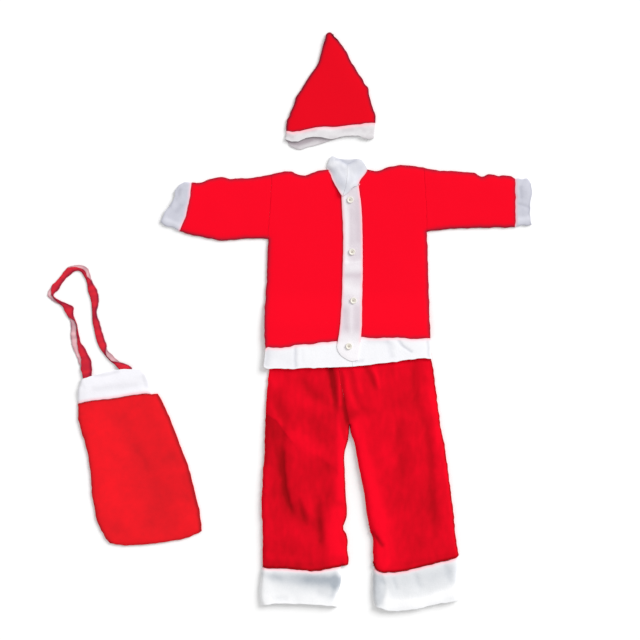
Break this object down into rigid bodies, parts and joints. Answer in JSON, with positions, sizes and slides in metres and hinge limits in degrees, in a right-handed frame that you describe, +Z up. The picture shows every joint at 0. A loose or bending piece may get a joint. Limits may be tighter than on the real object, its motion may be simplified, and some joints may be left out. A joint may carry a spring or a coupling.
{
  "type": "santa suit",
  "caption": "Child's Santa costume laid out flat: red jacket with white trim and buttons, red trousers with white cuffs, pointed hat with a white band, and a matching sack with a strap.",
  "frame": {"origin": "middle of the set's footprint, on the surface it lies on", "axes": "+Y from the trouser cuffs towards the tip of the hat, +X towards the jacket's left sleeve, +Z up off the surface"},
  "size_m": [1.0644, 1.27, 0.0167],
  "materials": {
    "red_knit": "brushed polyester knit, matt, with a short nap",
    "white_fleece": "soft white fleece, matt",
    "cream_button": "moulded cream plastic, satin"
  },
  "bodies": {
    "root": {"jacket_back": "red_knit", "jacket_front_right": "red_knit", "jacket_front_left": "red_knit", "sleeve_right": "red_knit", "sleeve_left": "red_knit", "trouser_front_right": "red_knit", "trouser_front_left": "red_knit", "trouser_back_right": "red_knit", "trouser_back_left": "red_knit", "waistband_front": "red_knit", "waistband_back": "red_knit", "hat_front": "red_knit", "hat_back": "red_knit", "bag_front": "red_knit", "bag_back": "red_knit", "bag_strap": "red_knit", "sleeve_cuff_right": "white_fleece", "sleeve_cuff_left": "white_fleece", "collar_back": "white_fleece", "collar_right": "white_fleece", "collar_left": "white_fleece", "placket": "white_fleece", "hem_back": "white_fleece", "hem_front_right": "white_fleece", "hem_front_left": "white_fleece", "trouser_cuff_right": "white_fleece", "trouser_cuff_left": "white_fleece", "hat_band": "white_fleece", "bag_band": "white_fleece", "button_1": "cream_button", "button_2": "cream_button", "button_3": "cream_button", "button_4": "cream_button"}
  },
  "joints": []
}
